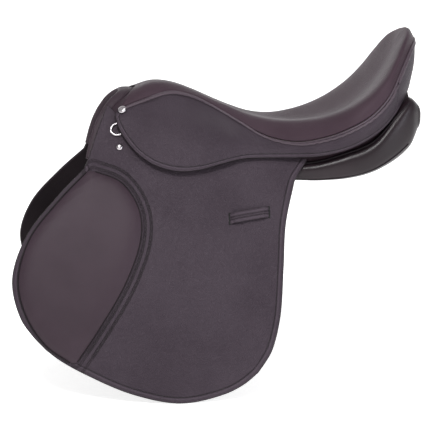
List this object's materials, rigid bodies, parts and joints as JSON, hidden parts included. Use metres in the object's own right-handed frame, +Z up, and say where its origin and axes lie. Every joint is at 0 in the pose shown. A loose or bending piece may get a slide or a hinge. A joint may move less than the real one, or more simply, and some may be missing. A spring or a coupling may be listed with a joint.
{
  "type": "english saddle",
  "caption": "English all-purpose saddle with a dished seat, shaped flaps with knee pads, skirts over stirrup bars, stuffed panels and girth straps.",
  "frame": {"origin": "on the middle plane, at the height where the panels bear on the horse's back, under the seat's lowest part", "axes": "+X runs from the pommel to the cantle, -Y is the rider's left (near side), +Z is up"},
  "size_m": [0.5811, 0.4142, 0.494],
  "materials": {
    "grained_leather": "fine grain, satin",
    "smooth_leather": "smooth, satin",
    "panel_leather": "smooth, semi-gloss",
    "strap_leather": "smooth, satin",
    "seat_foam_grey": "open foam under cloth",
    "linen_web": "woven linen",
    "wool_flock": "loose wool",
    "beech_tree": "lacquered laminate",
    "forged_steel": "plain",
    "nickel_plate": "polished nickel"
  },
  "bodies": {
    "saddle": {"tree_frame": "beech_tree", "gullet_plate": "forged_steel", "seat_web": "linen_web", "seat_foam": "seat_foam_grey", "seat_cover": "smooth_leather", "seat_welt": "smooth_leather", "cantle_back": "grained_leather", "pommel_facing": "grained_leather", "near_spring_strip": "forged_steel", "near_stirrup_bar": "forged_steel", "near_catch_pin": "forged_steel", "near_skirt_top": "grained_leather", "near_flap_top": "grained_leather", "near_sweat_flap": "strap_leather", "near_knee_block": "panel_leather", "near_girth_web_front": "linen_web", "near_girth_web_rear": "linen_web", "near_panel_flock": "wool_flock", "near_panel_cover": "panel_leather", "near_dee_chape": "grained_leather", "near_pommel_nail": "nickel_plate", "near_flap_stud": "nickel_plate", "off_spring_strip": "forged_steel", "off_stirrup_bar": "forged_steel", "off_catch_pin": "forged_steel", "off_skirt_top": "grained_leather", "off_flap_top": "grained_leather", "off_sweat_flap": "strap_leather", "off_knee_block": "panel_leather", "off_girth_web_front": "linen_web", "off_girth_web_rear": "linen_web", "off_panel_flock": "wool_flock", "off_panel_cover": "panel_leather", "off_dee_chape": "grained_leather", "off_pommel_nail": "nickel_plate", "off_flap_stud": "nickel_plate"},
    "near_flap": {"near_flap": "grained_leather", "near_knee_pad": "smooth_leather", "near_keeper": "grained_leather"},
    "near_skirt": {"near_skirt": "grained_leather"},
    "near_bar_catch": {"near_bar_catch": "forged_steel"},
    "near_dee": {"near_pommel_dee": "nickel_plate"},
    "near_strap_front": {"near_girth_strap_front": "strap_leather"},
    "near_strap_middle": {"near_girth_strap_middle": "strap_leather", "near_buckle_guard": "strap_leather"},
    "near_strap_rear": {"near_girth_strap_rear": "strap_leather"},
    "off_flap": {"off_flap": "grained_leather", "off_knee_pad": "smooth_leather", "off_keeper": "grained_leather"},
    "off_skirt": {"off_skirt": "grained_leather"},
    "off_bar_catch": {"off_bar_catch": "forged_steel"},
    "off_dee": {"off_pommel_dee": "nickel_plate"},
    "off_strap_front": {"off_girth_strap_front": "strap_leather"},
    "off_strap_middle": {"off_girth_strap_middle": "strap_leather", "off_buckle_guard": "strap_leather"},
    "off_strap_rear": {"off_girth_strap_rear": "strap_leather"}
  },
  "joints": [
    {"name": "near_flap_lift", "type": "hinge", "parent": "saddle", "child": "near_flap", "pos_m": [-0.116, -0.1029, 0.0145], "axis": [-0.9974, 0.0324, 0.0649], "range_deg": [0, 100]},
    {"name": "near_skirt_lift", "type": "hinge", "parent": "saddle", "child": "near_skirt", "pos_m": [-0.127, -0.093, 0.0685], "axis": [-0.957, 0.132, 0.2585], "range_deg": [0, 80]},
    {"name": "near_bar_catch_turn", "type": "hinge", "parent": "saddle", "child": "near_bar_catch", "pos_m": [-0.088, -0.09408, 0.05054], "axis": [0, -0.8944, 0.4472], "range_deg": [0, 70]},
    {"name": "near_dee_swing", "type": "hinge", "parent": "saddle", "child": "near_dee", "pos_m": [-0.2115, -0.07386, 0.07856], "axis": [-0.3903, 0.4117, 0.8235], "range_deg": [0, 20]},
    {"name": "near_strap_front_draw", "type": "hinge", "parent": "saddle", "child": "near_strap_front", "pos_m": [-0.158, -0.0964, 0.008], "axis": [-1, 0, 0], "range_deg": [0, 30]},
    {"name": "near_strap_middle_draw", "type": "hinge", "parent": "saddle", "child": "near_strap_middle", "pos_m": [-0.108, -0.0964, 0.008], "axis": [-1, 0, 0], "range_deg": [0, 30]},
    {"name": "near_strap_rear_draw", "type": "hinge", "parent": "saddle", "child": "near_strap_rear", "pos_m": [-0.058, -0.0964, 0.008], "axis": [-1, 0, 0], "range_deg": [0, 30]},
    {"name": "off_flap_lift", "type": "hinge", "parent": "saddle", "child": "off_flap", "pos_m": [-0.116, 0.1029, 0.0145], "axis": [0.9974, 0.0324, -0.0649], "range_deg": [0, 100]},
    {"name": "off_skirt_lift", "type": "hinge", "parent": "saddle", "child": "off_skirt", "pos_m": [-0.127, 0.093, 0.0685], "axis": [0.957, 0.132, -0.2585], "range_deg": [0, 80]},
    {"name": "off_bar_catch_turn", "type": "hinge", "parent": "saddle", "child": "off_bar_catch", "pos_m": [-0.088, 0.09408, 0.05054], "axis": [0, -0.8944, -0.4472], "range_deg": [0, 70]},
    {"name": "off_dee_swing", "type": "hinge", "parent": "saddle", "child": "off_dee", "pos_m": [-0.2115, 0.07386, 0.07856], "axis": [0.3903, 0.4117, -0.8235], "range_deg": [0, 20]},
    {"name": "off_strap_front_draw", "type": "hinge", "parent": "saddle", "child": "off_strap_front", "pos_m": [-0.158, 0.0964, 0.008], "axis": [1, 0, 0], "range_deg": [0, 30]},
    {"name": "off_strap_middle_draw", "type": "hinge", "parent": "saddle", "child": "off_strap_middle", "pos_m": [-0.108, 0.0964, 0.008], "axis": [1, 0, 0], "range_deg": [0, 30]},
    {"name": "off_strap_rear_draw", "type": "hinge", "parent": "saddle", "child": "off_strap_rear", "pos_m": [-0.058, 0.0964, 0.008], "axis": [1, 0, 0], "range_deg": [0, 30]}
  ],
  "couplings": [
    {"joint": "near_strap_front_draw", "follows": "near_flap_lift", "ratio": 0.3},
    {"joint": "near_strap_middle_draw", "follows": "near_flap_lift", "ratio": 0.3},
    {"joint": "near_strap_rear_draw", "follows": "near_flap_lift", "ratio": 0.3},
    {"joint": "off_strap_front_draw", "follows": "off_flap_lift", "ratio": 0.3},
    {"joint": "off_strap_middle_draw", "follows": "off_flap_lift", "ratio": 0.3},
    {"joint": "off_strap_rear_draw", "follows": "off_flap_lift", "ratio": 0.3}
  ]
}
